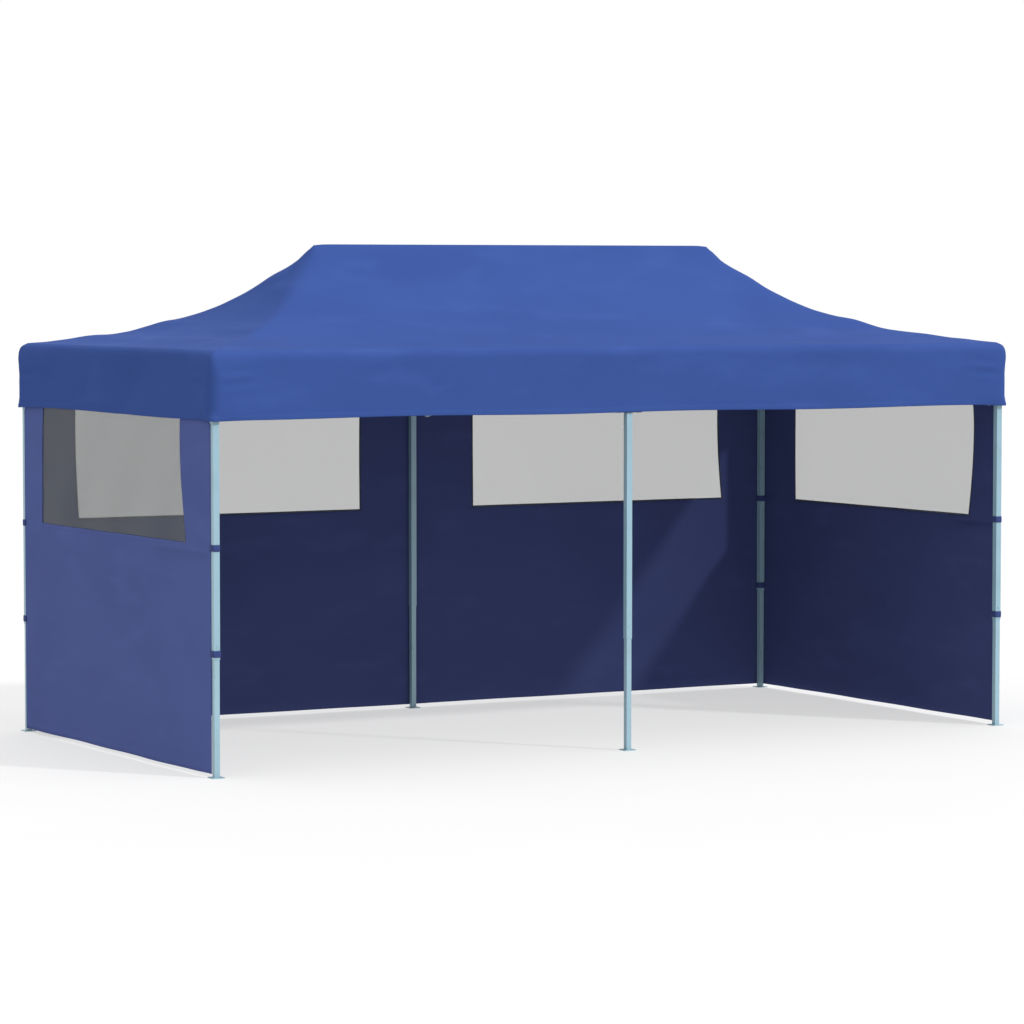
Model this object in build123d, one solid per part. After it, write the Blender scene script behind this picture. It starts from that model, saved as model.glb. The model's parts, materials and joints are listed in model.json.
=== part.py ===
from build123d import *
import os
from math import atan2, degrees, hypot

# A folding gazebo with six telescopic legs, a scissor frame, a hip canopy, four side walls and an open front.
# Millimetres. +X runs along the gazebo, -Y is its open front, and the feet stand on z = 0.

# Layout
BAY = 2920            # between neighbouring leg centres, along the sides and across the depth
TOP_Z = 2500          # fixed pivots at the leg tops
LOW_Z = 2185          # pivots of the sliding brackets
PIVOT = 80            # from a leg's centre to the pivots beside it
MID = BAY / 2         # the middle node of each side truss
PAST = 1              # how far a cut runs past the face that it opens, and a root into what it joins

# Legs
LEG_SIZE, LEG_WALL = 40, 1.5
LEG_BOTTOM, LEG_TOP = 720, 2550
FOOT_TUBE, FOOT_WALL, FOOT_TUBE_TOP = 35, 1.5, 1500
PLATE_SIZE, PLATE_THICK = 80, 6
PEG_RADIUS, PEG_SPACING = 5, 58
BUTTON_Z, BUTTON_RADIUS, BUTTON_PROUD, BUTTON_FIT = 800, 4.2, 3, 0.3

# Brackets
BRACKET = 56          # outer size of the top bracket and of the slider
BRACKET_LOW, BRACKET_HIGH = 2478, 2558
SLIDER_HIGH, SLIDER_BELOW = 60, 13          # the sleeve's height, and its part below the pivots
TOP_FIT, SLIDER_FIT = 0.2, 0.6
EAR_THICK, EAR_HIGH, EAR_END = 4, 26, 13

# Scissor bars
BAR_WIDE, BAR_THICK, BAR_WALL = 25, 12, 1.2
BAR_TIP = 15          # past each end pivot
LAYER = 7.5           # a bar's centre from its truss plane
BAR_GAP = 0.5         # between a bar and the ear beside it
PIN_RADIUS, PIN_FIT = 4, 0.05
HEAD_RADIUS, HEAD_THICK = 6.5, 1.5

# Peak poles and the arms that lift them
NODE_OFFSET = 46      # from the back truss plane to an arm's pivot
HUB_OFFSET = PIVOT - NODE_OFFSET
NODE_NEAR, NODE_FAR = 16.5, 24
NODE_RIVET = 22.5     # the truss's middle rivets end inside the node block
NODE_WIDE, NODE_HIGH = 40, 32
HUB_SIZE, HUB_HIGH = 28, 46
POLE_RADIUS, POLE_WALL, CAP_RADIUS = 12.5, 1.5, 16
CAP_GAP = 10          # between the pole's cap and the canopy

# Canopy
CANOPY_OUT = 35       # the valance stands this far outside the leg centres
CANOPY_THICK = 1.5
EAVE_Z, RIDGE_Z, VALANCE_Z = 2590, 3250, 2175
RIDGE_ROUND, RIDGE_HALF = 10, 1510
STRAIGHT_SHARE, HOLLOW_POWER = 0.28, 2.9    # how the roof climbs: gently first, then steeply
ROOF_STEPS = 10

# Walls
WALL_OUT = 20         # the wall's inner face from the leg centres
WALL_THICK, WINDOW_THICK = 1, 0.5
WALL_HALF = 1430
WALL_LOW, WALL_HIGH = 25, 2440
WINDOW_HALF, WINDOW_LOW, WINDOW_HIGH = 1060, 1415, 2300
WINDOW_GAP = 0.4
STRAP_HEIGHTS = (1400, 757)
SECOND_STRAPS = -60   # where two walls share a leg, one wall's straps are this much lower
STRAP_HIGH, STRAP_THICK, STRAP_FIT = 38, 1.7, 1.3

LEGS = {
    "back_mid": (0, MID),
    "back_left": (-BAY, MID),
    "back_right": (BAY, MID),
    "front_left": (-BAY, -MID),
    "front_right": (BAY, -MID),
    "front_mid": (0, -MID),
}
TRUSSES = {
    "back_left": ("back_mid", "back_left"),
    "back_right": ("back_mid", "back_right"),
    "left": ("back_left", "front_left"),
    "right": ("back_right", "front_right"),
    "front_left": ("front_left", "front_mid"),
    "front_right": ("front_right", "front_mid"),
}
WALLS = {
    "back_left_wall": ("back_mid", "back_left", {"back_mid": 0}),
    "back_right_wall": ("back_right", "back_mid", {"back_mid": SECOND_STRAPS}),
    "left_wall": ("back_left", "front_left", {"back_left": 0, "front_left": 0}),
    "right_wall": ("front_right", "back_right", {"back_right": 0, "front_right": 0}),
}


def block(x, y, z):
    """A box between two values along each axis."""
    middle = [(a + b) / 2 for a, b in (x, y, z)]
    return Pos(*middle) * Box(abs(x[1] - x[0]), abs(y[1] - y[0]), abs(z[1] - z[0]))


def square_tube(size, wall, low, high):
    """An upright square tube on the local Z axis."""
    half, inner = size / 2, size / 2 - wall
    outside = block((-half, half), (-half, half), (low, high))
    return outside - block((-inner, inner), (-inner, inner), (low - PAST, high + PAST))


def across(s, z, start, end, radius):
    """A round bar along local Y, at the place (s, z)."""
    middle = Pos(s, (start + end) / 2, z)
    return middle * Rot(90, 0, 0) * Cylinder(radius, abs(end - start))


def plane_between(start, end):
    """A frame at the first leg's foot, with X towards the second leg."""
    (x0, y0), (x1, y1) = LEGS[start], LEGS[end]
    return Plane(origin=(x0, y0, 0), x_dir=(x1 - x0, y1 - y0, 0), z_dir=(0, 0, 1)).location


def bar(start, end, side):
    """A hollow bar between two (s, z) pivots, in the layer on the given side, with a hole at each pivot."""
    run, rise = end[0] - start[0], end[1] - start[1]
    length = hypot(run, rise)
    full = length + 2 * BAR_TIP
    shape = Box(full, BAR_THICK, BAR_WIDE)
    shape -= Box(full + 2 * PAST, BAR_THICK - 2 * BAR_WALL, BAR_WIDE - 2 * BAR_WALL)
    for s in (-length / 2, 0, length / 2):
        shape -= across(s, 0, -BAR_THICK, BAR_THICK, PIN_RADIUS + PIN_FIT)
    middle = Pos((start[0] + end[0]) / 2, side * LAYER, (start[1] + end[1]) / 2)
    return middle * Rot(0, -degrees(atan2(rise, run)), 0) * shape


def rivet(s, z, start, end, heads=(True, True)):
    """A pin along local Y, with a flat head past each end that asks for one."""
    shape = across(s, z, start, end, PIN_RADIUS)
    if heads[0]:
        shape += across(s, z, start - HEAD_THICK, start, HEAD_RADIUS)
    if heads[1]:
        shape += across(s, z, end, end + HEAD_THICK, HEAD_RADIUS)
    return shape


def centre_rivet(s, z):
    """The rivet where two crossed bars meet."""
    reach = LAYER + BAR_THICK / 2 + BAR_GAP
    return rivet(s, z, -reach, reach)


def ear_pair(side):
    """The two ears' spans along local Y, beside a bar in the layer on the given side."""
    middle, half = side * LAYER, BAR_THICK / 2 + BAR_GAP
    return [(middle - half - EAR_THICK, middle - half), (middle + half, middle + half + EAR_THICK)]


def fork(root, tip, z, side):
    """Two ears from root to past the pivot at tip, both along local X."""
    past = tip + (EAR_END if tip > root else -EAR_END)
    ears = [block((root, past), span, (z - EAR_HIGH / 2, z + EAR_HIGH / 2)) for span in ear_pair(side)]
    hole = across(tip, z, -3 * BAR_THICK, 3 * BAR_THICK, PIN_RADIUS + PIN_FIT / 2)
    return [ear - hole for ear in ears]


def fork_pin(tip, z, side):
    spans = ear_pair(side)
    return rivet(tip, z, spans[0][0], spans[1][1], (False, False))


def trusses_at(leg):
    """(frame, place of the leg on it, direction along it, side of the fixed bar, side of the sliding bar)."""
    found = []
    for near, far in TRUSSES.values():
        if near == leg:
            found.append((plane_between(near, far), 0, 1, 1, -1))
        if far == leg:
            found.append((plane_between(near, far), BAY, -1, -1, 1))
    return found


def forks_at(leg, z, which):
    """The ears and the pins that hold this leg's bars at height z."""
    ears, pins = [], []
    for frame, at, way, *sides in trusses_at(leg):
        side, tip = sides[which], at + way * PIVOT
        ears += [frame * e for e in fork(at + way * (BRACKET / 2 - PAST), tip, z, side)]
        pins.append(frame * fork_pin(tip, z, side))
    return ears, pins


def outward(leg):
    """+1 on the back legs, -1 on the front ones."""
    return 1 if LEGS[leg][1] > 0 else -1


def outer_leg(leg):
    """The upper tube, its top bracket, the bracket's pins and the snap button in its hole."""
    at = Pos(*LEGS[leg], 0)
    tube = at * square_tube(LEG_SIZE, LEG_WALL, LEG_BOTTOM, LEG_TOP)
    face = LEGS[leg][1] + outward(leg) * LEG_SIZE / 2
    x = LEGS[leg][0]
    inner, proud = face - outward(leg) * LEG_WALL, face + outward(leg) * BUTTON_PROUD
    tube -= across(x, BUTTON_Z, inner - outward(leg) * PAST, proud, BUTTON_RADIUS + BUTTON_FIT)
    button = across(x, BUTTON_Z, inner, proud, BUTTON_RADIUS)
    half, hollow = BRACKET / 2, LEG_SIZE / 2 + TOP_FIT
    bracket = at * block((-half, half), (-half, half), (BRACKET_LOW, BRACKET_HIGH))
    bracket -= at * block((-hollow, hollow), (-hollow, hollow), (BRACKET_LOW - PAST, LEG_TOP + TOP_FIT))
    ears, pins = forks_at(leg, TOP_Z, 0)
    for ear in ears:
        bracket += ear
    return [tube, button, bracket, *pins]


def slider(leg):
    """The sleeve that runs on the upper tube, and its pins."""
    half, hollow = BRACKET / 2, LEG_SIZE / 2 + SLIDER_FIT
    low = LOW_Z - SLIDER_BELOW
    high = low + SLIDER_HIGH
    sleeve = block((-half, half), (-half, half), (low, high))
    sleeve -= block((-hollow, hollow), (-hollow, hollow), (low - PAST, high + PAST))
    sleeve = Pos(*LEGS[leg], 0) * sleeve
    ears, pins = forks_at(leg, LOW_Z, 1)
    for ear in ears:
        sleeve += ear
    return [sleeve, *pins]


def lower_leg(leg):
    """The inner tube that slides up into the leg, on a foot plate with two peg holes."""
    tube = square_tube(FOOT_TUBE, FOOT_WALL, PLATE_THICK, FOOT_TUBE_TOP)
    plate = Pos(0, 0, PLATE_THICK / 2) * Box(PLATE_SIZE, PLATE_SIZE, PLATE_THICK)
    for x in (-PEG_SPACING / 2, PEG_SPACING / 2):
        plate -= Pos(x, 0, PLATE_THICK / 2) * Cylinder(PEG_RADIUS, 2 * PLATE_THICK)
    return [Pos(*LEGS[leg], 0) * shape for shape in (tube, plate)]


def truss_bars(truss):
    """The four bars of one side truss, as two crosses side by side, with the rivets that they carry."""
    near, far = TRUSSES[truss]
    frame = plane_between(near, far)
    last, quarter = BAY - PIVOT, (PIVOT + MID) / 2
    height = (TOP_Z + LOW_Z) / 2
    reach = LAYER + BAR_THICK / 2 + BAR_GAP
    inward = {"back_left": 1, "back_right": -1}.get(truss, 0)
    span = (-NODE_RIVET if inward < 0 else -reach, NODE_RIVET if inward > 0 else reach)
    middle_rivets = [rivet(MID, z, *span, heads=(inward >= 0, inward <= 0)) for z in (LOW_Z, TOP_Z)]
    shapes = {
        "near_top_bar": [
            bar((PIVOT, TOP_Z), (MID, LOW_Z), 1),
            centre_rivet(quarter, height),
            middle_rivets[0],
        ],
        "near_slider_bar": [bar((PIVOT, LOW_Z), (MID, TOP_Z), -1), middle_rivets[1]],
        "far_top_bar": [bar((MID, LOW_Z), (last, TOP_Z), -1), centre_rivet(BAY - quarter, height)],
        "far_slider_bar": [bar((MID, TOP_Z), (last, LOW_Z), 1)],
    }
    return {f"{truss}_{name}": [frame * s for s in solids] for name, solids in shapes.items()}


def arm_frame(x):
    """A frame at the middle of a back truss, with X towards the front."""
    return Plane(origin=(x, MID, 0), x_dir=(0, -1, 0), z_dir=(0, 0, 1)).location


def truss_node(x, z, side):
    """A block on a back truss's middle rivet, with a fork for one arm."""
    body = block((NODE_NEAR, NODE_FAR), (-NODE_WIDE / 2, NODE_WIDE / 2), (z - NODE_HIGH / 2, z + NODE_HIGH / 2))
    body -= Pos(0, 0, z) * Rot(0, 90, 0) * Cylinder(PIN_RADIUS + PIN_FIT, 3 * NODE_FAR)
    for ear in fork(NODE_FAR - PAST, NODE_OFFSET, z, side):
        body += ear
    return [arm_frame(x) * s for s in (body, fork_pin(NODE_OFFSET, z, side))]


def hub(x, z, side):
    """A square hub on the peak pole's axis, with a fork for one arm."""
    half = HUB_SIZE / 2
    body = block((MID - half, MID + half), (-half, half), (z - HUB_HIGH / 2, z + HUB_HIGH / 2))
    body -= Pos(MID, 0, z) * Cylinder(POLE_RADIUS + TOP_FIT, 2 * HUB_HIGH)
    for ear in fork(MID - half + PAST, MID - HUB_OFFSET, z, side):
        body += ear
    return [arm_frame(x) * s for s in (body, fork_pin(MID - HUB_OFFSET, z, side))]


def peak_pole(x):
    """The round pole that lifts the ridge, with its domed cap."""
    low, high = TOP_Z - HUB_HIGH / 2, RIDGE_Z - CANOPY_THICK - CAP_RADIUS - CAP_GAP
    shape = Cylinder(POLE_RADIUS, high - low) - Cylinder(POLE_RADIUS - POLE_WALL, high - low + 2 * PAST)
    side = (-CAP_RADIUS - PAST, CAP_RADIUS + PAST)
    dome = Sphere(CAP_RADIUS) - block(side, side, (side[0], 0))
    return [Pos(x, 0, (low + high) / 2) * shape, Pos(x, 0, high) * dome]


def peak_lift(name, x):
    """One bay's arms, hubs and truss nodes, which raise the canopy's peak."""
    first, last = NODE_OFFSET, MID - HUB_OFFSET
    middle, height = (first + last) / 2, (TOP_Z + LOW_Z) / 2
    frame = arm_frame(x)
    rising = [bar((first, LOW_Z), (last, TOP_Z), -1), centre_rivet(middle, height)]
    falling = [bar((first, TOP_Z), (last, LOW_Z), 1)]
    return {
        f"{name}_low_node": truss_node(x, LOW_Z, -1),
        f"{name}_high_node": truss_node(x, TOP_Z, 1),
        f"{name}_rising_arm": [frame * s for s in rising],
        f"{name}_falling_arm": [frame * s for s in falling],
        f"{name}_peak_pole": hub(x, TOP_Z, -1) + peak_pole(x),
        f"{name}_lower_hub": hub(x, LOW_Z, 1),
    }


def stacked_rings(rings):
    """A closed solid through level rectangles, each (half length, half depth, height)."""
    loops = [[(x, y, z), (-x, y, z), (-x, -y, z), (x, -y, z)] for x, y, z in rings]
    faces = [Face(Wire.make_polygon(loops[0])), Face(Wire.make_polygon(loops[-1]))]
    for low, high in zip(loops, loops[1:]):
        for i in range(4):
            j = (i + 1) % 4
            faces.append(Face(Wire.make_polygon([low[i], low[j], high[j], high[i]])))
    return Solid(Shell(faces))


def roof_ring(share):
    """The roof's level rectangle at a share of the way from eave to ridge."""
    x, y = BAY + CANOPY_OUT, MID + CANOPY_OUT
    climb = STRAIGHT_SHARE * share + (1 - STRAIGHT_SHARE) * share**HOLLOW_POWER
    return x - share * (x - RIDGE_HALF), y - share * (y - RIDGE_ROUND), EAVE_Z + (RIDGE_Z - EAVE_Z) * climb


def canopy():
    """The hip roof and its valance, one sheet all round, open below."""
    roof = [roof_ring(i / ROOF_STEPS) for i in range(ROOF_STEPS + 1)]
    x, y, _ = roof[0]
    outside = stacked_rings([(x, y, VALANCE_Z), *roof])
    inside = [(a - CANOPY_THICK, b - CANOPY_THICK, z - CANOPY_THICK) for a, b, z in roof]
    x, y, _ = inside[0]
    return [outside - stacked_rings([(x, y, VALANCE_Z - PAST), *inside])]


def wall_frame(start, end):
    """A frame at the middle of a wall, with X along it and Y outwards."""
    (x0, y0), (x1, y1) = LEGS[start], LEGS[end]
    origin = ((x0 + x1) / 2, (y0 + y1) / 2, 0)
    return Plane(origin=origin, x_dir=(x0 - x1, y0 - y1, 0), z_dir=(0, 0, 1)).location


def strap(leg, z):
    """A hook-and-loop strap closed round a leg."""
    inner = LEG_SIZE / 2 + STRAP_FIT
    return Pos(*LEGS[leg], 0) * square_tube(
        2 * (inner + STRAP_THICK), STRAP_THICK, z - STRAP_HIGH / 2, z + STRAP_HIGH / 2
    )


def strap_tab(place, z):
    """The short tab that joins a strap to the wall's edge."""
    sign = 1 if place > 0 else -1
    ends = sign * (WALL_HALF - PAST), sign * (MID - LEG_SIZE / 2 - STRAP_FIT - STRAP_THICK / 2)
    return block(sorted(ends), (WALL_OUT, WALL_OUT + WALL_THICK), (z - STRAP_HIGH / 2, z + STRAP_HIGH / 2))


def wall(start, end, straps):
    """One side wall with its window cut out, and the straps that tie it to its legs."""
    frame = wall_frame(start, end)
    depth = (WALL_OUT, WALL_OUT + WALL_THICK)
    sheet = block((-WALL_HALF, WALL_HALF), depth, (WALL_LOW, WALL_HIGH))
    sheet -= block((-WINDOW_HALF, WINDOW_HALF), (0, 2 * WALL_OUT), (WINDOW_LOW, WINDOW_HIGH))
    shape = frame * sheet
    for leg, shift in straps.items():
        for z in STRAP_HEIGHTS:
            shape += frame * strap_tab(MID if leg == start else -MID, z + shift)
            shape += strap(leg, z + shift)
    return [shape]


def windows():
    """The clear sheets in the four walls."""
    half = WINDOW_HALF - WINDOW_GAP
    near = WALL_OUT + (WALL_THICK - WINDOW_THICK) / 2
    pane = block((-half, half), (near, near + WINDOW_THICK), (WINDOW_LOW + WINDOW_GAP, WINDOW_HIGH - WINDOW_GAP))
    return [wall_frame(start, end) * pane for start, end, _ in WALLS.values()]


def all_nodes():
    nodes = {}
    for leg in LEGS:
        nodes[f"leg_{leg}"] = outer_leg(leg)
        nodes[f"lower_leg_{leg}"] = lower_leg(leg)
        nodes[f"slider_{leg}"] = slider(leg)
    for truss in TRUSSES:
        nodes |= truss_bars(truss)
    nodes |= peak_lift("left", -MID)
    nodes |= peak_lift("right", MID)
    nodes["canopy"] = canopy()
    for name, (start, end, straps) in WALLS.items():
        nodes[name] = wall(start, end, straps)
    nodes["windows"] = windows()
    return nodes


def write_nodes():
    os.makedirs("parts", exist_ok=True)
    for name, shapes in all_nodes().items():
        solids = [s for shape in shapes for s in shape.solids()]
        export_step(Compound(solids), f"parts/{name}.step")


write_nodes()
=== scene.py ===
import bpy
import json
from math import cos, exp, pi, radians, sin
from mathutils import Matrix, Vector

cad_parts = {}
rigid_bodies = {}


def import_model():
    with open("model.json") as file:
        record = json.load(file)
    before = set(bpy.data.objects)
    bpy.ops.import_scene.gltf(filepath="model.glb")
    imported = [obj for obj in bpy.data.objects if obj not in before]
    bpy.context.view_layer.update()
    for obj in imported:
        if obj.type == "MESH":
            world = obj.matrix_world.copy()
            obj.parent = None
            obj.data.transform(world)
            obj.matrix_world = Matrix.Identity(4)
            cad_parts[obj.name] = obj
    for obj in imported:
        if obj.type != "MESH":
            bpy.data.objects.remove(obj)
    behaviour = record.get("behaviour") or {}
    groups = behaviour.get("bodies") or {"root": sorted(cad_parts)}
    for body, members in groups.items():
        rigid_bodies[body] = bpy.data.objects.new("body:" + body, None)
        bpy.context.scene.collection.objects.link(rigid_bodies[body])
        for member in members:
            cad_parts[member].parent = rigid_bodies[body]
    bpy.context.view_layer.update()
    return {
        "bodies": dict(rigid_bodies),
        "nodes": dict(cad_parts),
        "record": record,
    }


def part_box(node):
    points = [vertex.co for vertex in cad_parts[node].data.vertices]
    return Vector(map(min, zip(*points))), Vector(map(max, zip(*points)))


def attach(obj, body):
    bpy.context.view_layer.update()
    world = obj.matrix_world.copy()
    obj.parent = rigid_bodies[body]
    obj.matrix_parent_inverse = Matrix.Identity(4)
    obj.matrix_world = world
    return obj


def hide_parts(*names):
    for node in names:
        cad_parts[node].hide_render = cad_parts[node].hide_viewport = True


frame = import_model()

# Places read from the frame, in metres. +X runs along the gazebo and -Y is its open front.
FOOT = {name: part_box(f"lower_leg_{name}") for name in
        ("back_mid", "back_left", "back_right", "front_left", "front_right", "front_mid")}
LEG = {name: ((low + high) / 2).to_2d() for name, (low, high) in FOOT.items()}
HALF_X, HALF_Y = LEG["back_right"].x, LEG["back_right"].y
CANOPY_LOW, CANOPY_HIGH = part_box("canopy")
EDGE_X, EDGE_Y = CANOPY_HIGH.x, CANOPY_HIGH.y
VALANCE_Z, RIDGE_Z = CANOPY_LOW.z, CANOPY_HIGH.z
WALL_LOW, WALL_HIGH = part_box("left_wall")[0].z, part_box("left_wall")[1].z

# Canopy
EAVE_Z = 2.59
RIDGE_HALF, RIDGE_ROUND = 1.51, 0.012
STRAIGHT_SHARE, HOLLOW_POWER = 0.28, 2.9    # the roof's slope: part straight, the rest a power of the way up
EAVE_IN, EAVE_RISE = 0.032, 0.058           # the rounded edge between valance and roof
RIDGE_SHARE = 0.985                         # the last ring before the ridge's own
CORNER_ROUND = 0.030                        # in plan, at the eave and the hem
HIP_SEAM = 0.0025                           # how proud a sewn hip stands
HEM_SHARE, HEM_PROUD = 0.93, 0.001          # the hem starts at this share of the drop, and stands this proud
CANOPY_THICK = 0.0012
HIP_KNOTS = (                               # share of the way up, rise, and width of each bump on a hip
    (0.81, 0.013, 0.045),
    (0.62, -0.007, 0.08),
    (0.45, 0.012, 0.05),
    (0.33, -0.005, 0.05),
    (0.21, 0.008, 0.045),
)
PATCH = 0.038                               # cloth this far from a pole's middle stays flat over its cap
FOLDED = 0.146                              # what the fold leaves of the leg spacing
BUNCHED = 0.125                             # what the fold leaves of a distance past a patch

# Walls, windows and straps
WALL_OUT = 0.0205                           # the cloth's middle from the leg centres
WALL_HALF = 1.43
WALL_THICK, PANE_THICK = 0.0009, 0.0006
WINDOW_LOW, WINDOW_HIGH = 1.415, 2.3
BINDING = 0.022                             # stitched edge round the window
SIDE_HEM = 0.028
STITCH = 0.003                              # between a hem's edge and the flat cloth
STITCHED_THICK = 0.0011
NUDGE = 0.001                               # keeps a row on a hem's edge inside the hem
SLACK = 0.009                               # the wall hangs this far out between its legs, clear of the bars
CREASE_FROM = 0.93                          # where a strap's crease starts, from the wall's middle
SLIDER_CLEAR = (2.15, 2.16, 2.17)           # heights over which the wall narrows, under the sliders
PANE_OVERLAP, PANE_BEHIND = 0.012, 0.0011
STRAP_UP, STRAP_DOWN = 1.40, 0.757
STRAP_HALF, STRAP_HIGH, STRAP_THICK = 0.0226, 0.040, 0.0016
BRACKET_LOW = 2.4779                        # the legs' nylon brackets start here

NYLON = (0.035, 0.037, 0.04)

# Camera, fitted to the photo
CAMERA_PLACE = (-13.4067, -23.5574, 3.0629)
CAMERA_YAW, CAMERA_PITCH = 0.5166, 0.0591


# ---------------------------------------------------------------- helpers

def smooth_step(t):
    """From 0 to 1 along an S curve, and level outside them."""
    t = min(max(t, 0.0), 1.0)
    return t * t * (3 - 2 * t)


def bump_at(distance, width):
    """A smooth bump, 1 at no distance."""
    return exp(-((distance / width) ** 2))


def mesh_piece(name, points, faces, material, smooth=True):
    """A mesh object in the shared frame, with one material or a list of them."""
    mesh = bpy.data.meshes.new(name)
    mesh.from_pydata([tuple(p) for p in points], [], faces)
    mesh.validate()
    mesh.update()
    for face in mesh.polygons:
        face.use_smooth = smooth
    piece = bpy.data.objects.new(name, mesh)
    bpy.context.scene.collection.objects.link(piece)
    for each in material if isinstance(material, list) else [material]:
        piece.data.materials.append(each)
    return piece


def grid_faces(columns, rows, closed=False, keep=lambda i, j: True):
    """Quads of a grid whose points run along columns first."""
    faces = []
    for j in range(rows - 1):
        for i in range(columns if closed else columns - 1):
            k = (i + 1) % columns
            if keep(i, j):
                low, high = j * columns, (j + 1) * columns
                faces.append((low + i, low + k, high + k, high + i))
    return faces


def thicken(piece, thickness, offset=0.0):
    """Gives a sheet its thickness. Its last material goes on the new side and the rim."""
    solid = piece.modifiers.new("thickness", "SOLIDIFY")
    solid.thickness = thickness
    solid.offset = offset
    solid.use_even_offset = False
    solid.material_offset = len(piece.data.materials) - 1
    solid.material_offset_rim = solid.material_offset
    return piece


def spaced(start, end, step):
    """Even values from start to end, about a step apart, without the last one."""
    count = max(1, round(abs(end - start) / step))
    return [start + (end - start) * i / count for i in range(count)]


# ---------------------------------------------------------------- camera, light and floor

def look_from(place, yaw, pitch):
    """A level-sided camera, turned from +Y towards +X by yaw and down by pitch."""
    data = bpy.data.cameras.new("camera")
    data.lens = 142.0
    data.sensor_width = 36.0
    data.clip_end = 200.0
    camera = bpy.data.objects.new("camera", data)
    camera.location = place
    camera.rotation_euler = (pi / 2 - pitch, 0, -yaw)
    bpy.context.scene.collection.objects.link(camera)
    bpy.context.scene.camera = camera


def sun(name, toward, strength, spread):
    """A sun that shines along a direction, spread over an angle in degrees."""
    data = bpy.data.lights.new(name, "SUN")
    data.energy = strength
    data.angle = radians(spread)
    lamp = bpy.data.objects.new(name, data)
    lamp.rotation_euler = Vector(toward).to_track_quat("-Z", "Y").to_euler()
    bpy.context.scene.collection.objects.link(lamp)


def white_world(strength):
    world = bpy.data.worlds.new("studio")
    world.use_nodes = True
    background = world.node_tree.nodes["Background"]
    background.inputs["Color"].default_value = (1, 1, 1, 1)
    background.inputs["Strength"].default_value = strength
    bpy.context.scene.world = world


def floor(material):
    size = 60.0
    corners = [(-size, -size, 0), (size, -size, 0), (size, size, 0), (-size, size, 0)]
    piece = mesh_piece("floor", corners, [(0, 1, 2, 3)], material, smooth=False)


# ---------------------------------------------------------------- materials

class Shader:
    """A Principled material whose colour and bump are built from the object's own coordinates."""

    def __init__(self, name, colour, roughness, **constants):
        self.material = bpy.data.materials.new(name)
        self.material.use_nodes = True
        self.tree = self.material.node_tree
        self.principled = self.tree.nodes["Principled BSDF"]
        self.set(self.principled, "Base Color", (*colour, 1))
        self.set(self.principled, "Roughness", roughness)
        for socket, value in constants.items():
            self.set(self.principled, socket.replace("_", " "), value)
        self.place = self.node("TexCoord").outputs["Object"]
        self.colour = None
        self.height = None
        self.base = (*colour, 1)

    def node(self, kind, **settings):
        made = self.tree.nodes.new("ShaderNode" + kind)
        for key, value in settings.items():
            setattr(made, key, value)
        return made

    def set(self, node, socket, value):
        node.inputs[socket].default_value = value

    def link(self, start, end):
        self.tree.links.new(start, end)

    def scaled(self, x, y, z):
        mapping = self.node("Mapping")
        self.set(mapping, "Scale", (x, y, z))
        self.link(self.place, mapping.inputs["Vector"])
        return mapping.outputs["Vector"]

    def noise(self, scale, detail, stretch=(1, 1, 1)):
        made = self.node("TexNoise")
        self.set(made, "Scale", scale)
        self.set(made, "Detail", detail)
        self.link(self.scaled(*stretch), made.inputs["Vector"])
        return made.outputs["Fac"]

    def ramp(self, value, low, high):
        """0 below low and 1 above high."""
        made = self.node("ValToRGB")
        made.color_ramp.elements[0].position = low
        made.color_ramp.elements[1].position = high
        self.link(value, made.inputs["Fac"])
        return made.outputs["Color"]

    def math(self, operation, first, second=None):
        made = self.node("Math", operation=operation)
        for socket, value in zip(made.inputs, (first, second)):
            if isinstance(value, (int, float)):
                socket.default_value = value
            elif value is not None:
                self.link(value, socket)
        return made.outputs["Value"]

    def axis(self, name):
        made = self.node("SeparateXYZ")
        self.link(self.place, made.inputs["Vector"])
        return made.outputs[name]

    def paint(self, mask, colour):
        """Lays a colour over the surface where the mask is 1."""
        made = self.node("Mix", data_type="RGBA", blend_type="MIX")
        self.link(mask, made.inputs[0])
        if self.colour is None:
            made.inputs[6].default_value = self.base
        else:
            self.link(self.colour, made.inputs[6])
        made.inputs[7].default_value = (*colour, 1)
        self.colour = made.outputs[2]
        self.link(self.colour, self.principled.inputs["Base Color"])

    def bump(self, height, distance, strength):
        made = self.node("Bump")
        self.set(made, "Distance", distance)
        self.set(made, "Strength", strength)
        self.link(height, made.inputs["Height"])
        if self.height is not None:
            self.link(self.height, made.inputs["Normal"])
        self.height = made.outputs["Normal"]
        self.link(self.height, self.principled.inputs["Normal"])

    def rough(self, value, low, high):
        made = self.node("MapRange")
        self.set(made, "To Min", low)
        self.set(made, "To Max", high)
        self.link(value, made.inputs["Value"])
        self.link(made.outputs["Result"], self.principled.inputs["Roughness"])


def threads(shader, pitch):
    """Plain weave: threads that cross along each axis, as one height from 0 to 1."""
    waves = []
    for axis in "XYZ":
        turned = shader.math("MULTIPLY", shader.axis(axis), 2 * pi / pitch)
        waves.append(shader.math("ABSOLUTE", shader.math("SINE", turned)))
    crossed = shader.math("MAXIMUM", shader.math("MULTIPLY", waves[0], waves[2]),
                          shader.math("MULTIPLY", waves[1], waves[2]))
    return shader.math("MAXIMUM", crossed, shader.math("MULTIPLY", waves[0], waves[1]))


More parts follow.
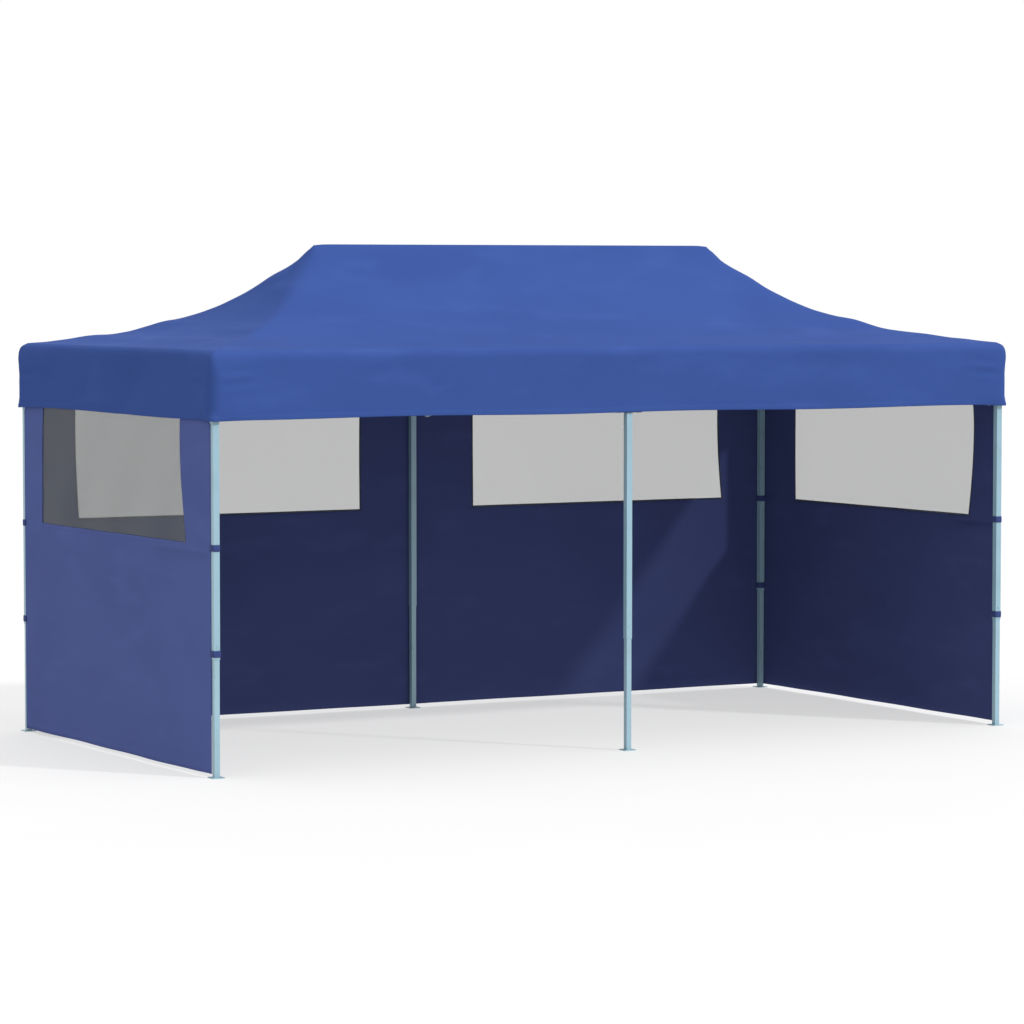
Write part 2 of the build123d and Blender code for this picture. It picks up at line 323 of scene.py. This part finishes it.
def coated_polyester(name, colour, shade, light):
    """Woven, coated polyester with faint blotches of a darker and a lighter shade, and fine creases."""
    shader = Shader(name, colour, 0.55, Sheen_Weight=0.005, Sheen_Roughness=0.4, Specular_IOR_Level=0.004)
    shader.paint(shader.ramp(shader.noise(1.1, 3.0, (1, 1, 2.2)), 0.42, 0.72), shade)
    shader.paint(shader.ramp(shader.noise(2.3, 2.0, (1, 1, 3.0)), 0.55, 0.85), light)
    shader.paint(shader.ramp(shader.noise(900.0, 1.0), 0.5, 1.0), [c * 0.8 for c in colour])
    shader.rough(shader.noise(3.0, 3.0), 0.48, 0.64)
    shader.bump(threads(shader, 0.0022), 0.00012, 0.6)
    shader.bump(shader.noise(7.0, 5.0, (1, 1, 2.0)), 0.003, 0.35)
    shader.bump(shader.noise(34.0, 3.0), 0.0006, 0.4)
    return shader.material


def enamel(name, colour, brackets_above=None):
    """Hammered pale enamel, with scuffs, and dark nylon above a height where a bracket caps the tube."""
    shader = Shader(name, colour, 0.34, Coat_Weight=0.15, Coat_Roughness=0.25)
    shader.paint(shader.ramp(shader.noise(5.0, 3.0), 0.45, 0.8), [c * 0.9 for c in colour])
    shader.paint(shader.ramp(shader.noise(60.0, 6.0, (1, 1, 0.25)), 0.66, 0.74), [c * 0.72 for c in colour])
    if brackets_above:
        shader.paint(shader.math("GREATER_THAN", shader.axis("Z"), brackets_above), NYLON)
    shader.rough(shader.noise(22.0, 4.0), 0.26, 0.46)
    shader.bump(shader.noise(160.0, 2.0), 0.0003, 0.35)
    return shader.material


def moulded_nylon():
    shader = Shader("moulded_nylon", NYLON, 0.5, Specular_IOR_Level=0.4)
    shader.paint(shader.ramp(shader.noise(9.0, 3.0), 0.4, 0.8), (0.05, 0.052, 0.056))
    shader.paint(shader.ramp(shader.noise(70.0, 5.0), 0.68, 0.76), (0.10, 0.10, 0.105))
    shader.rough(shader.noise(30.0, 3.0), 0.42, 0.6)
    shader.bump(shader.noise(700.0, 2.0), 0.0002, 0.5)
    return shader.material


def clear_sheet():
    """Flexible clear sheet, a little grey and cloudy, with soft ripples."""
    shader = Shader("clear_sheet", (0.070, 0.082, 0.089), 0.12, Alpha=0.32, IOR=1.45, Specular_IOR_Level=0.4)
    shader.paint(shader.ramp(shader.noise(1.8, 3.0), 0.4, 0.75), (0.09, 0.097, 0.10))
    shader.paint(shader.ramp(shader.noise(6.0, 4.0), 0.62, 0.8), (0.11, 0.115, 0.115))
    shader.rough(shader.noise(3.0, 2.0), 0.18, 0.30)
    shader.bump(shader.noise(1.5, 0.0), 0.012, 0.2)
    return shader.material


def webbing(name, colour):
    """Ribbed hook-and-loop webbing."""
    shader = Shader(name, colour, 0.8, Sheen_Weight=0.03, Specular_IOR_Level=0.08)
    ribs = shader.math("SINE", shader.math("MULTIPLY", shader.axis("Z"), 2 * pi / 0.0035))
    shader.paint(shader.math("GREATER_THAN", ribs, 0.55), [c * 0.6 for c in colour])
    shader.paint(shader.ramp(shader.noise(240.0, 2.0), 0.5, 0.9), [min(1, c * 1.5) for c in colour])
    shader.bump(ribs, 0.0004, 0.7)
    shader.bump(shader.noise(900.0, 2.0), 0.0005, 0.6)
    return shader.material


def pale_floor():
    shader = Shader("pale_floor", (0.24, 0.24, 0.24), 0.85, Specular_IOR_Level=0.05,
                    Emission_Color=(1, 1, 1, 1), Emission_Strength=0.58)
    shader.paint(shader.ramp(shader.noise(0.7, 2.0), 0.4, 0.9), (0.233, 0.233, 0.233))
    return shader.material


# ---------------------------------------------------------------- canopy

def roof_size(share):
    """Half length, half depth and height of the roof's level outline at a share of the way up."""
    climb = STRAIGHT_SHARE * share + (1 - STRAIGHT_SHARE) * share ** HOLLOW_POWER
    return (EDGE_X - share * (EDGE_X - RIDGE_HALF), EDGE_Y - share * (EDGE_Y - RIDGE_ROUND),
            EAVE_Z + (RIDGE_Z - EAVE_Z) * climb)


def outline(half_x, half_y, corner, steps_x, steps_y, steps_corner):
    """Points round a rectangle with rounded corners, each with its outward direction and its place 0 to 4.

    A side takes the first half of each whole number, and the corner after it the second half.
    """
    corner = min(corner, half_x * 0.98, half_y * 0.98)
    straight = (half_x - corner, half_y - corner)
    points = []
    sides = [((1, 0), steps_y), ((0, 1), steps_x), ((-1, 0), steps_y), ((0, -1), steps_x)]
    for turn, ((nx, ny), steps) in enumerate(sides):
        reach_out = half_x if nx else half_y
        reach_along = straight[1] if nx else straight[0]
        tx, ty = -ny, nx
        for i in range(steps):
            along = -reach_along + 2 * reach_along * i / steps
            x, y = nx * reach_out + tx * along, ny * reach_out + ty * along
            points.append((x, y, nx, ny, turn + 0.5 * i / steps))
        cx = (nx + tx) * straight[0]
        cy = (ny + ty) * straight[1]
        for i in range(steps_corner):
            angle = pi / 2 * i / steps_corner
            ox, oy = nx * cos(angle) + tx * sin(angle), ny * cos(angle) + ty * sin(angle)
            place = turn + 0.5 + 0.5 * i / steps_corner
            points.append((cx + ox * corner, cy + oy * corner, ox, oy, place))
    return points


def corner_distance(x, y):
    """How far a point on the canopy's edge lies from the nearest corner, along the edge."""
    return abs(EDGE_X - abs(x)) + abs(EDGE_Y - abs(y))


def valance_corner(drop):
    """The valance's corner is tight round the brackets at its top and bottom, and looser between them."""
    return CORNER_ROUND + 0.030 * smooth_step((drop - 0.15) / 0.3) * smooth_step((0.97 - drop) / 0.14)


def corner_belly(x, y, drop):
    """The canopy's corner bulges round the bracket and the slider inside it."""
    near = bump_at(corner_distance(x, y), 0.20)
    return 0.02 * near * smooth_step((drop + 0.15) / 0.5) * smooth_step((1.03 - drop) / 0.16)


def valance_wave(x, y, drop):
    """How far the valance stands out of its plane at a share of its drop."""
    along = x if abs(abs(y) - EDGE_Y) < 0.1 else y
    far = corner_distance(x, y)
    wave = 0.0035 * sin(5.2 * along + 1.3 * y) + 0.0022 * sin(11.0 * along + 0.7)
    flick = 0.017 * bump_at(far, 0.05) * smooth_step((drop - 0.9) / 0.1)
    across_pleats = sin(31 * (drop - 0.36) + 7 * far)
    pleats = 0.005 * bump_at(far - 0.17, 0.1) * across_pleats * bump_at(drop - 0.4, 0.17)
    return wave * drop * (1 - bump_at(far, 0.12)) + flick + pleats + corner_belly(x, y, drop)


def roof_wave(x, y, share):
    """Ripples and slack in the roof between its supports."""
    fade = smooth_step(share / 0.06) * smooth_step((1 - share) / 0.12)
    half_x, half_y, _ = roof_size(share)
    corner = bump_at(abs(abs(x) - half_x) + abs(abs(y) - half_y), 0.45)
    phase = 0.03 * (1 if x > 0 else -1) * (1 if y > 0 else -1)
    knots = sum(rise * bump_at(share + phase - at, width) for at, rise, width in HIP_KNOTS) * corner
    ripple = 0.0026 * sin(30 * share + 0.8 * sin(1.9 * x) + 1.2 * y) * bump_at(share - 0.26, 0.3)
    fine = 0.0004 * sin(84 * share + 1.1 * x + 0.6)
    slack = -0.012 * sin(pi * share) * (0.5 + 0.5 * cos(2.15 * x + pi))
    return fade * (ripple + fine + slack + knots)


def canopy_rings():
    """The part of the canopy that each ring is in and its share of that part, from hem to ridge."""
    hem = [("drop", v) for v in (1.0, 0.985, 0.96, 0.935, 0.928)]
    drop = [("drop", v) for v in spaced(0.90, EAVE_RISE / (EAVE_Z - VALANCE_Z) + 0.02, 0.03)]
    edge = [("edge", v) for v in spaced(0.0, 1.0, 0.17)]
    roof = [("roof", v) for v in spaced(0.024, RIDGE_SHARE, 0.0135)]
    return hem + drop + edge + roof + [("roof", RIDGE_SHARE), ("roof", 1.0)]


def canopy_point(kind, value, x, y, nx, ny, turn, height):
    """Where a point of a ring's outline lies on the valance (drop), the rounded edge, or the roof."""
    if kind == "drop":
        out = valance_wave(x, y, value) + (HEM_PROUD if value > HEM_SHARE else 0.0)
        z = EAVE_Z - value * (EAVE_Z - VALANCE_Z)
        if value > 0.5:
            z -= 0.004 * sin(3.1 * x + 2.0 * y) * value + 0.006 * bump_at(corner_distance(x, y), 0.15)
        return x + nx * out, y + ny * out, z
    if kind == "edge":
        angle = pi / 2 * value
        rise = EAVE_RISE * sin(angle)
        drop = (EAVE_RISE - rise) / (EAVE_Z - VALANCE_Z)
        belly = corner_belly(x, y, drop) * smooth_step((1 - value) / 0.6)
        inward = EAVE_IN * (1 - cos(angle)) - belly
        dip = -0.0035 * (0.5 + 0.5 * cos(2 * pi * x / HALF_X)) * value
        return x - nx * inward, y - ny * inward, EAVE_Z - EAVE_RISE + rise + dip
    from_ridge_end = abs(RIDGE_HALF - abs(x)) + abs(y)
    worn = -0.007 * bump_at(from_ridge_end, 0.06) * smooth_step((value - 0.9) / 0.1)
    seam = HIP_SEAM if abs(turn % 1 - 0.75) < 0.08 and value < RIDGE_SHARE else 0.0
    return x, y, height + roof_wave(x, y, value) + worn + seam


def canopy_mesh():
    points, columns = [], 0
    for kind, value in canopy_rings():
        up = value if kind == "roof" else 0.0
        half_x, half_y, height = roof_size(up)
        corner = valance_corner(value) if kind == "drop" else CORNER_ROUND + 0.09 * up
        ring = outline(half_x, half_y, corner, 116, 58, 8)
        columns = len(ring)
        points += [canopy_point(kind, value, *place, height) for place in ring]
    faces = grid_faces(columns, len(points) // columns, closed=True)
    top = len(points) - columns
    faces.append(tuple(range(top, len(points))))
    return points, faces


def follow_bodies(piece, shares):
    """Hooks a cloth's points to the bodies that it is tied to, each with its share of the pull."""
    pulls = [shares(vertex.co) for vertex in piece.data.vertices]
    for body in sorted(set().union(*pulls)):
        group = piece.vertex_groups.new(name=f"pull_{body}")
        for index, pull in enumerate(pulls):
            if pull.get(body, 0.0) > 0:
                group.add([index], pull[body], "REPLACE")
        hook = piece.modifiers.new(f"follow_{body}", "HOOK")
        hook.object = frame["bodies"][body]
        hook.vertex_group = group.name
        hook.falloff_type = "NONE"
        hook.strength = 1.0


def packed(far):
    """Where the folded cloth lies from the pole that it lay this far from."""
    return min(far, PATCH) + BUNCHED * max(far - PATCH, 0.0)


def canopy_shares(place):
    """How much each leg and pole carries a point of the canopy, which shrinks with the legs' rectangle."""
    x = min(max(place.x / HALF_X, -1.0), 1.0)
    back = min(max((place.y / HALF_Y + 1) / 2, 0.0), 1.0)
    side = "left" if x < 0 else "right"
    far = Vector((abs(place.x) - RIDGE_HALF, place.y)).length
    over_pole = min(max((packed(far) / max(far, PATCH) - FOLDED) / (1 - FOLDED), 0.0), 1.0)
    shares = {f"{side}_peak_pole": over_pole}
    for row, amount in (("back", back), ("front", 1 - back)):
        shares[f"leg_{row}_mid"] = (1 - over_pole) * amount * (1 - abs(x))
        shares[f"leg_{row}_{side}"] = (1 - over_pole) * amount * abs(x)
    del shares["leg_back_mid"]    # the piece already rides on this leg
    return shares


def make_canopy(material):
    points, faces = canopy_mesh()
    piece = mesh_piece("canopy_cloth", points, faces, material)
    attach(piece, "leg_back_mid")
    follow_bodies(piece, canopy_shares)
    thicken(piece, CANOPY_THICK, -1.0)
    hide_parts("canopy")


# ---------------------------------------------------------------- walls and windows

class Side:
    """One side wall's frame: u runs along it, from end to start, and out runs across it.

    start and end are its legs, and rider is the one whose body it rides. past is how much further the cloth
    reaches, behind the legs, below their sliders. pulled times CREASE_FROM is the u where a strap's crease
    starts, and 0 leaves it out. window is the u of the window's two edges, and bow is how far each of them
    shifts at its bottom, belly and top.
    """

    def __init__(self, name, start, end, rider, past, pulled, window, bow):
        self.name, self.start, self.end, self.rider = name, start, end, rider
        self.past, self.pulled = past, pulled
        self.window, self.bow = window, bow
        a, b = LEG[start], LEG[end]
        self.middle = (a + b) / 2
        self.along = (a - b).normalized()
        self.out = Vector((-self.along.y, self.along.x))

    def edge(self, which, z):
        """Where the window's edge runs at a height: a shallow curve between its corners."""
        t = min(max((z - WINDOW_LOW) / (WINDOW_HIGH - WINDOW_LOW), 0.0), 1.0)
        bottom, belly, top = self.bow[which]
        return self.window[which] + bottom * (1 - t) ** 2 + 2 * belly * t * (1 - t) + top * t * t

    def place(self, u, out, z):
        flat = self.middle + self.along * u + self.out * (WALL_OUT + out)
        return flat.x, flat.y, z

    def wave(self, u, z):
        """How far the cloth stands out of its plane."""
        pinned = smooth_step((WALL_HALF - abs(u)) / 0.25) * smooth_step((WALL_HIGH - z) / 0.4)
        phase = 2.0 * self.middle.x + 3.0 * self.middle.y
        slow = 0.006 * sin(2.3 * u + phase) * cos(1.7 * z + 0.5 * phase)
        drag = 0.0032 * sin(9.0 * u + 4.5 * z + phase) * bump_at(z - 1.3, 0.7)
        hem = 0.005 * sin(7.5 * u + phase) * smooth_step((0.5 - z) / 0.5)
        toward_straps = smooth_step((u * self.pulled - CREASE_FROM * self.pulled ** 2) / 0.14)
        before_leg = smooth_step((WALL_HALF - abs(u)) / 0.06)
        crease = 0.011 * bump_at(z - STRAP_UP + 0.03, 0.022) * toward_straps * before_leg
        pull = -0.008 * bump_at(z - STRAP_UP + 0.09, 0.06) * toward_straps * before_leg
        return pinned * (slow + drag + hem + SLACK) + crease + pull


SIDES = (
    Side("back_left_wall", "back_mid", "back_left", "back_mid", 0.022, 0,
         (-1.07, 1.056), ((0.0, -0.03, -0.022), (0.0, -0.004, 0.004))),
    Side("back_right_wall", "back_right", "back_mid", "back_mid", 0.022, 0,
         (-0.96, 1.108), ((0.0, 0.0, 0.0), (0.02, -0.03, -0.005))),
    Side("left_wall", "back_left", "front_left", "back_left", 0.014, -0.6,
         (-1.10, 1.10), ((0.0, 0.125, 0.07), (0.034, 0.018, 0.0))),
    Side("right_wall", "front_right", "back_right", "back_right", 0.022, 1,
         (-1.04, 1.086), ((0.0, 0.0, -0.004), (0.0, 0.085, 0.036))),
)


def wall_reach(side, z):
    """Half the wall's width at a height: it runs behind the legs, and clears their sliders and brackets."""
    low, _, high = SLIDER_CLEAR
    return WALL_HALF + side.past * smooth_step((high - z) / (high - low))


def wall_columns(side):
    """u of each column at the window's foot, and which columns are the window's two edges."""
    left, right = side.edge(0, WINDOW_LOW), side.edge(1, WINDOW_LOW)
    hem, bound = SIDE_HEM + STITCH, BINDING + STITCH
    columns = [-WALL_HALF, -WALL_HALF + SIDE_HEM, -WALL_HALF + hem]
    columns += spaced(columns[-1], left - bound, 0.035)[1:]
    columns += [left - bound, left - BINDING, left]
    inner = len(columns) - 1
    columns += spaced(left, right, 0.04)[1:] + [right]
    outer = len(columns) - 1
    columns += [right + BINDING, right + bound]
    columns += spaced(right + bound, WALL_HALF - hem, 0.035)[1:]
    columns += [WALL_HALF - hem, WALL_HALF - SIDE_HEM, WALL_HALF]
    return columns, inner, outer


def wall_rows():
    """z of each row, and which rows are the window's foot and head. They are close at the strap's crease."""
    bound = WINDOW_LOW - BINDING - STITCH
    rows = [WALL_LOW, WALL_LOW + SIDE_HEM, WALL_LOW + SIDE_HEM + STITCH]
    rows += spaced(rows[-1], STRAP_UP - 0.08, 0.04)[1:]
    rows += spaced(rows[-1], bound, 0.008)[1:]
    rows += [bound, WINDOW_LOW - BINDING, WINDOW_LOW]
    first = len(rows) - 1
    rows += spaced(WINDOW_LOW, SLIDER_CLEAR[0], 0.04)[1:] + list(SLIDER_CLEAR)
    rows += spaced(SLIDER_CLEAR[-1], WINDOW_HIGH, 0.04)[1:] + [WINDOW_HIGH]
    last = len(rows) - 1
    rows += spaced(WINDOW_HIGH, WALL_HIGH, 0.04)[1:] + [WALL_HIGH]
    return rows, first, last


def stitched(side, u, z):
    """Extra thickness where the wall is hemmed or bound."""
    hem, binding = SIDE_HEM + NUDGE, BINDING + NUDGE
    hemmed = abs(u) > WALL_HALF - hem or z < WALL_LOW + hem
    bound = side.edge(0, z) - binding < u < side.edge(1, z) + binding and WINDOW_LOW - binding < z
    return STITCHED_THICK if hemmed or bound else 0.0


def column_values(side, z, columns):
    """The columns moved with the window's bowed edges and the wall's reach, so every row has as many."""
    low = side.edge(0, WINDOW_LOW), side.edge(1, WINDOW_LOW)
    bowed = [side.edge(which, z) - low[which] for which in (0, 1)]
    past = wall_reach(side, z) - WALL_HALF
    moved = []
    for u in columns:
        if u <= low[0]:
            share = (u + WALL_HALF) / (low[0] + WALL_HALF)
            moved.append(u + bowed[0] * share - past * (1 - share))
        elif u >= low[1]:
            share = (WALL_HALF - u) / (WALL_HALF - low[1])
            moved.append(u + bowed[1] * share + past * (1 - share))
        else:
            share = (u - low[0]) / (low[1] - low[0])
            moved.append(u + bowed[0] * (1 - share) + bowed[1] * share)
    return moved


def make_wall(side, material):
    """The wall's cloth, with the window's opening left out of its grid."""
    columns, inner, outer = wall_columns(side)
    rows, first, last = wall_rows()
    points = []
    for z in rows:
        shrink = WALL_HALF / wall_reach(side, z)
        for u in column_values(side, z, columns):
            points.append(side.place(u, side.wave(u, z) + stitched(side, u * shrink, z), z))

    def cloth_at(i, j):
        return not (inner <= i < outer and first <= j < last)

    points, faces = without_loose(points, grid_faces(len(columns), len(rows), keep=cloth_at))
    return thicken(mesh_piece(side.name + "_cloth", points, faces, material), WALL_THICK)


def make_pane(side, material):
    """The clear sheet, sewn on behind the window's bound edge."""
    low, high = WINDOW_LOW - PANE_OVERLAP, WINDOW_HIGH + PANE_OVERLAP
    rows = spaced(low, high, 0.03) + [high]
    count = 70
    points = []
    for z in rows:
        left, right = side.edge(0, z) - PANE_OVERLAP, side.edge(1, z) + PANE_OVERLAP
        for i in range(count + 1):
            u = left + (right - left) * i / count
            points.append(side.place(u, side.wave(u, z) - PANE_BEHIND, z))
    faces = grid_faces(count + 1, len(rows))
    return thicken(mesh_piece(side.name + "_window", points, faces, material), PANE_THICK)


def without_loose(points, faces):
    """The same mesh without the points that no face uses."""
    kept = sorted({i for face in faces for i in face})
    number = {old: new for new, old in enumerate(kept)}
    return [points[i] for i in kept], [tuple(number[i] for i in face) for face in faces]


def wall_shares(side):
    """Each leg's pull on a wall between two legs, less the leg that it rides on."""
    def shares(place):
        u = (Vector((place.x, place.y)) - side.middle).dot(side.along)
        toward_start = min(max((u + WALL_HALF) / (2 * WALL_HALF), 0.0), 1.0)
        pulls = {f"leg_{side.start}": toward_start, f"leg_{side.end}": 1 - toward_start}
        del pulls[f"leg_{side.rider}"]
        return pulls
    return shares


def make_sides(cloth, clear):
    for side in SIDES:
        wall, pane = make_wall(side, cloth), make_pane(side, clear)
        for piece in (wall, pane):
            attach(piece, f"leg_{side.rider}")
            follow_bodies(piece, wall_shares(side))
        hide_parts(side.name)
    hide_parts("windows")


# ---------------------------------------------------------------- straps

def strap_loop(points, faces, centre, z, loosen):
    """A band closed round a square tube, with rounded corners."""
    ring = outline(STRAP_HALF + loosen, STRAP_HALF + loosen, 0.006, 6, 6, 5)
    rows = 7
    first = len(points)
    for j in range(rows):
        height = z - STRAP_HIGH / 2 + STRAP_HIGH * j / (rows - 1)
        pinch = 0.0006 * sin(pi * j / (rows - 1))
        for x, y, nx, ny, _ in ring:
            points.append((centre.x + x + nx * pinch, centre.y + y + ny * pinch, height))
    faces += [tuple(first + k for k in f) for f in grid_faces(len(ring), rows, closed=True)]


def strap_flap(points, faces, centre, z, direction, end, shift):
    """A flat tongue laid over the loop: its free hook end."""
    side = Vector((-direction.y, direction.x))
    rows, columns = 6, 9
    first = len(points)
    for j in range(rows):
        height = z - STRAP_HIGH * 0.46 + STRAP_HIGH * 0.92 * j / (rows - 1)
        for i in range(columns):
            along = shift + (end - shift) * i / (columns - 1)
            lift = 0.0006 * sin(pi * i / (columns - 1))
            spot = centre + direction * along + side * (STRAP_HALF + 0.0022 + lift)
            points.append((spot.x, spot.y, height))
    faces += [tuple(first + k for k in f) for f in grid_faces(columns, rows)]


def make_straps(leg, direction, flip, material):
    """Both straps of one leg. direction runs along its side wall, with the outside on its left.

    The free end points along direction where flip is 1, and against it where flip is -1.
    """
    points, faces = [], []
    for n, z in enumerate((STRAP_UP, STRAP_DOWN)):
        strap_loop(points, faces, LEG[leg], z, 0.0004 * n)
        strap_flap(points, faces, LEG[leg], z, direction, flip * 0.031, -flip * 0.012)
    piece = mesh_piece(f"straps_{leg}", points, faces, material)
    thicken(piece, STRAP_THICK, 1.0)
    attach(piece, f"leg_{leg}")


def all_straps(material):
    back = Vector((0, 1))
    for leg, direction, flip in (("front_left", back, 1), ("back_left", back, -1),
                                 ("front_right", -back, -1), ("back_right", -back, 1)):
        make_straps(leg, direction, flip, material)


# ---------------------------------------------------------------- CAD nodes

def dress_cad_nodes():
    """Gives every CAD node that stays visible its finish."""
    paints = {
        "leg_paint": enamel("leg_enamel", (0.215, 0.345, 0.415), brackets_above=BRACKET_LOW),
        "lower_leg_paint": enamel("lower_leg_enamel", (0.23, 0.36, 0.43)),
        "bar_paint": enamel("bar_enamel", (0.30, 0.37, 0.42)),
        "plastic": moulded_nylon(),
    }
    slots = {row["node"]: row["material_slot"] for row in frame["record"]["subparts"]}
    for name, node in frame["nodes"].items():
        if slots[name] in paints:
            node.data.materials.clear()
            node.data.materials.append(paints[slots[name]])


bpy.context.scene.view_settings.view_transform = "Standard"
look_from(CAMERA_PLACE, CAMERA_YAW, CAMERA_PITCH)
sun("key_sun", (-0.7, 1.0, -0.875), 2.4, 4.0)
sun("overhead_softbox", (0, 0, -1), 1.0, 60.0)
white_world(1.0)
floor(pale_floor())
dress_cad_nodes()
roof_cloth = coated_polyester("roof_polyester", (0.033, 0.066, 0.224), (0.030, 0.060, 0.206),
                              (0.038, 0.074, 0.243))
# The canopy's inner face takes a darker copy of the roof cloth: painted shade, standing in for the shade
# under the canopy.
roof_shaded_inside = coated_polyester("roof_inside_painted_shade", (0.020, 0.036, 0.12), (0.018, 0.032, 0.11),
                               (0.023, 0.041, 0.132))
wall_cloth = coated_polyester("wall_polyester", (0.066, 0.090, 0.242), (0.060, 0.082, 0.225),
                              (0.073, 0.098, 0.262))
# The walls' inner faces take a darker copy of the wall cloth: painted shade, standing in for the shade
# inside the gazebo.
wall_shaded_inside = coated_polyester("wall_inside_painted_shade", (0.042, 0.0545, 0.150), (0.038, 0.0495, 0.136),
                               (0.047, 0.061, 0.164))
make_canopy([roof_cloth, roof_shaded_inside])
make_sides([wall_shaded_inside, wall_cloth], clear_sheet())
all_straps(webbing("strap_webbing", (0.034, 0.052, 0.165)))
